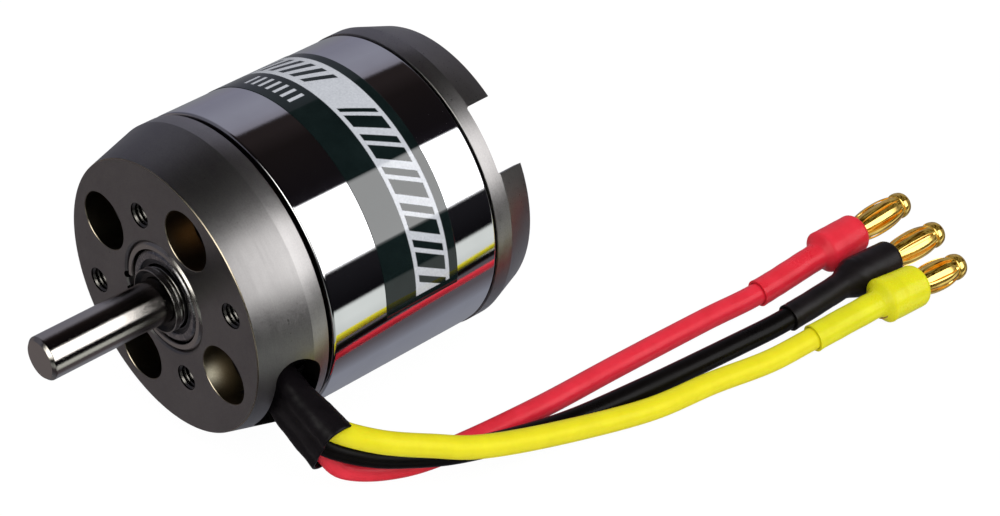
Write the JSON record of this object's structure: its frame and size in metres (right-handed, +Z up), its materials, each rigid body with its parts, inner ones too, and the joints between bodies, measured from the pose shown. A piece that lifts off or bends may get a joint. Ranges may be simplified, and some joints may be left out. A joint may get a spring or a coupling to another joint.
{
  "type": "brushless outrunner motor",
  "caption": "Brushless outrunner motor with a turning chromed can, a slotted front mount, a round shaft and three silicone wires ending in gold bullet plugs.",
  "frame": {"origin": "centre of the flat end of the output shaft", "axes": "+Y along the shaft from its free end towards the motor, +Z up with the motor lying on its can, +X to the side the cable leaves"},
  "size_m": [0.0601, 0.1038, 0.0352],
  "materials": {
    "gunmetal": "dark grey anodised, finely turned",
    "chrome": "mirror polished",
    "ground_steel": "ground and polished",
    "bearing_steel": "polished",
    "black_oxide": "black oxide",
    "lamination": "stacked sheet",
    "nylon": "moulded",
    "copper": "enamelled wire",
    "magnet": "nickel plated",
    "silicone_yellow": "satin silicone",
    "silicone_black": "satin silicone",
    "silicone_red": "satin silicone",
    "gold": "gold plated"
  },
  "bodies": {
    "stator": {"bullet_black": "gold", "bullet_red": "gold", "bullet_yellow": "gold", "cable_sleeve": "silicone_black", "front_bearing_outer": "bearing_steel", "front_bearing_shield": "bearing_steel", "front_retaining_ring": "ground_steel", "insulator_front": "nylon", "insulator_rear": "nylon", "lantern_spring_black": "gold", "lantern_spring_red": "gold", "lantern_spring_yellow": "gold", "mount_housing": "gunmetal", "plug_sleeve_black": "silicone_black", "plug_sleeve_red": "silicone_red", "plug_sleeve_yellow": "silicone_yellow", "rear_bearing_outer": "bearing_steel", "rear_bearing_shield": "bearing_steel", "stator_core": "lamination", "winding_phase_a": "copper", "winding_phase_b": "copper", "winding_phase_c": "copper", "wire_black": "silicone_black", "wire_red": "silicone_red", "wire_yellow": "silicone_yellow"},
    "rotor": {"flux_ring": "chrome", "front_bearing_inner": "bearing_steel", "grub_screw_1": "black_oxide", "grub_screw_2": "black_oxide", "magnet_01": "magnet", "magnet_02": "magnet", "magnet_03": "magnet", "magnet_04": "magnet", "magnet_05": "magnet", "magnet_06": "magnet", "magnet_07": "magnet", "magnet_08": "magnet", "magnet_09": "magnet", "magnet_10": "magnet", "magnet_11": "magnet", "magnet_12": "magnet", "magnet_13": "magnet", "magnet_14": "magnet", "rear_bearing_inner": "bearing_steel", "rear_bell": "gunmetal", "rear_spacer": "bearing_steel", "shaft": "ground_steel", "shaft_collar": "black_oxide"},
    "front_balls": {"front_ball_set": "bearing_steel"},
    "rear_balls": {"rear_ball_set": "bearing_steel"}
  },
  "joints": [
    {"name": "rotor_spin", "type": "hinge", "parent": "stator", "child": "rotor", "pos_m": [0, 0.0159, 0], "axis": [0, 1, 0], "continuous": true},
    {"name": "front_cage_spin", "type": "hinge", "parent": "stator", "child": "front_balls", "pos_m": [0, 0.0185, 0], "axis": [0, 1, 0], "continuous": true},
    {"name": "rear_cage_spin", "type": "hinge", "parent": "stator", "child": "rear_balls", "pos_m": [0, 0.0439, 0], "axis": [0, 1, 0], "continuous": true}
  ],
  "couplings": [
    {"joint": "front_cage_spin", "follows": "rotor_spin", "ratio": 0.4136},
    {"joint": "rear_cage_spin", "follows": "rotor_spin", "ratio": 0.4136}
  ]
}
